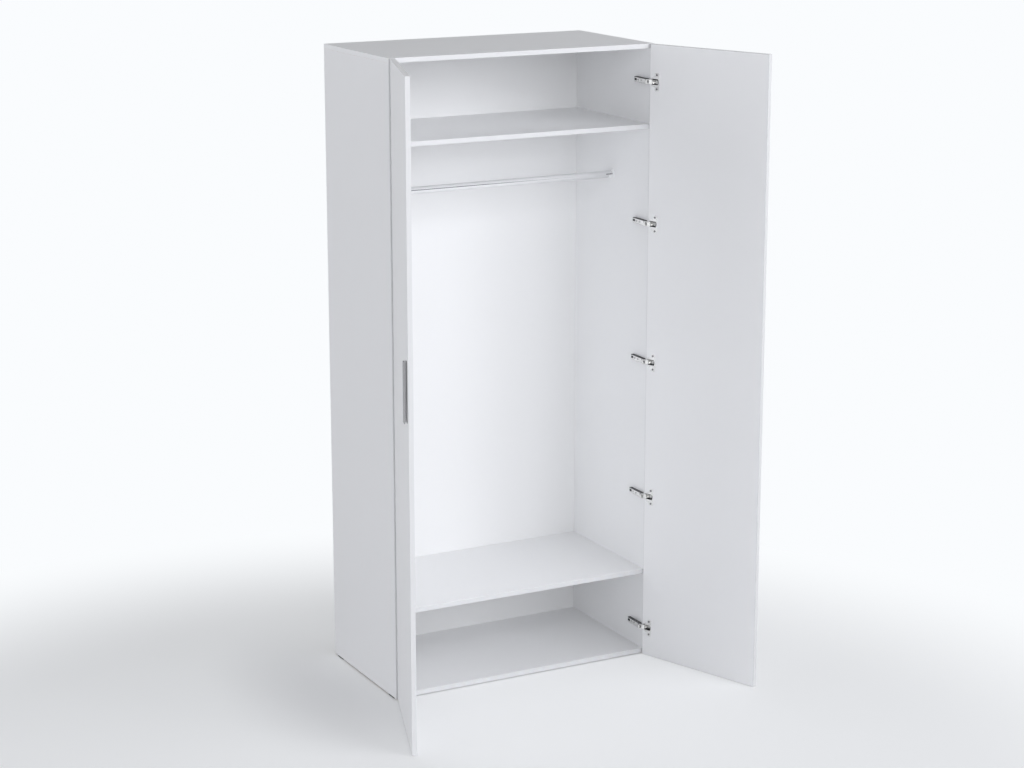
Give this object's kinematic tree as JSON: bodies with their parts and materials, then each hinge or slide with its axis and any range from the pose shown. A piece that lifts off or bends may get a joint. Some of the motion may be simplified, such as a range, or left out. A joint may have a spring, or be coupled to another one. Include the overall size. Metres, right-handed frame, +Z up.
{
  "type": "wardrobe with doors",
  "caption": "Tall white laminate wardrobe with overlay doors on concealed hinges, shelves above and below a hanging rail, slim dark pulls and low glides.",
  "frame": {"origin": "on the floor, at the middle of the box around the wardrobe with both doors open", "axes": "+X to the right seen from the front, +Y to the back, +Z up"},
  "size_m": [1.3326, 0.9901, 2.2],
  "materials": {
    "white_laminate": "white melamine laminate on particle board, fine satin orange-peel",
    "back_sheet": "white lacquered fibre board, smooth satin",
    "edge_strip": "white plastic edge strip, satin",
    "nickel_steel": "bright nickel-plated pressed steel",
    "steel_pin": "plain turned steel",
    "screw_steel": "zinc-plated steel",
    "chrome_rail": "chrome-plated steel tube",
    "bracket_zinc": "white lacquered die-cast zinc",
    "pull_metal": "dark grey lacquered aluminium, satin",
    "glide_plastic": "black moulded plastic",
    "cap_plastic": "white moulded plastic",
    "cam_zinc": "raw die-cast zinc",
    "beech": "fluted beech dowel"
  },
  "bodies": {
    "carcass": {"back_left_foot": "glide_plastic", "back_panel": "back_sheet", "back_right_foot": "glide_plastic", "bottom_panel": "white_laminate", "cam_bolts": "screw_steel", "cam_caps": "cap_plastic", "cam_locks": "cam_zinc", "dowels": "beech", "foot_nails": "screw_steel", "front_left_foot": "glide_plastic", "front_right_foot": "glide_plastic", "hanging_rail": "chrome_rail", "left_arm_pins": "steel_pin", "left_arm_screws": "screw_steel", "left_hinge_arms": "nickel_steel", "left_hinge_plates": "nickel_steel", "left_plate_screws": "screw_steel", "left_rail_bracket": "bracket_zinc", "left_side_panel": "white_laminate", "lower_shelf": "white_laminate", "rail_bracket_screws": "screw_steel", "right_arm_pins": "steel_pin", "right_arm_screws": "screw_steel", "right_hinge_arms": "nickel_steel", "right_hinge_plates": "nickel_steel", "right_plate_screws": "screw_steel", "right_rail_bracket": "bracket_zinc", "right_side_panel": "white_laminate", "shelf_edge_bands": "edge_strip", "side_edge_bands": "edge_strip", "top_edge_band": "edge_strip", "top_panel": "white_laminate", "upper_shelf": "white_laminate"},
    "left_links": {"left_hinge_links": "nickel_steel"},
    "right_links": {"right_hinge_links": "nickel_steel"},
    "left_door": {"left_cup_pins": "steel_pin", "left_cup_screws": "screw_steel", "left_door_edge_band": "edge_strip", "left_door_panel": "white_laminate", "left_hinge_cups": "nickel_steel", "left_pull": "pull_metal", "left_pull_studs": "screw_steel"},
    "right_door": {"right_cup_pins": "steel_pin", "right_cup_screws": "screw_steel", "right_door_edge_band": "edge_strip", "right_door_panel": "white_laminate", "right_hinge_cups": "nickel_steel", "right_pull": "pull_metal", "right_pull_studs": "screw_steel"}
  },
  "joints": [
    {"name": "left_link_swing", "type": "hinge", "parent": "carcass", "child": "left_links", "pos_m": [-0.467, -0.0249, 1.08975], "axis": [0, 0, -1], "range_deg": [0, 28]},
    {"name": "left_door_swing", "type": "hinge", "parent": "left_links", "child": "left_door", "pos_m": [-0.48587, -0.03607, 1.08975], "axis": [0, 0, -1], "range_deg": [-138, 0]},
    {"name": "right_link_swing", "type": "hinge", "parent": "carcass", "child": "right_links", "pos_m": [0.467, -0.0249, 1.08975], "axis": [0, 0, 1], "range_deg": [0, 28]},
    {"name": "right_door_swing", "type": "hinge", "parent": "right_links", "child": "right_door", "pos_m": [0.48587, -0.03607, 1.08975], "axis": [0, 0, 1], "range_deg": [-138, 0]}
  ],
  "couplings": [
    {"joint": "left_link_swing", "follows": "left_door_swing", "ratio": -0.2029},
    {"joint": "right_link_swing", "follows": "right_door_swing", "ratio": -0.2029}
  ]
}
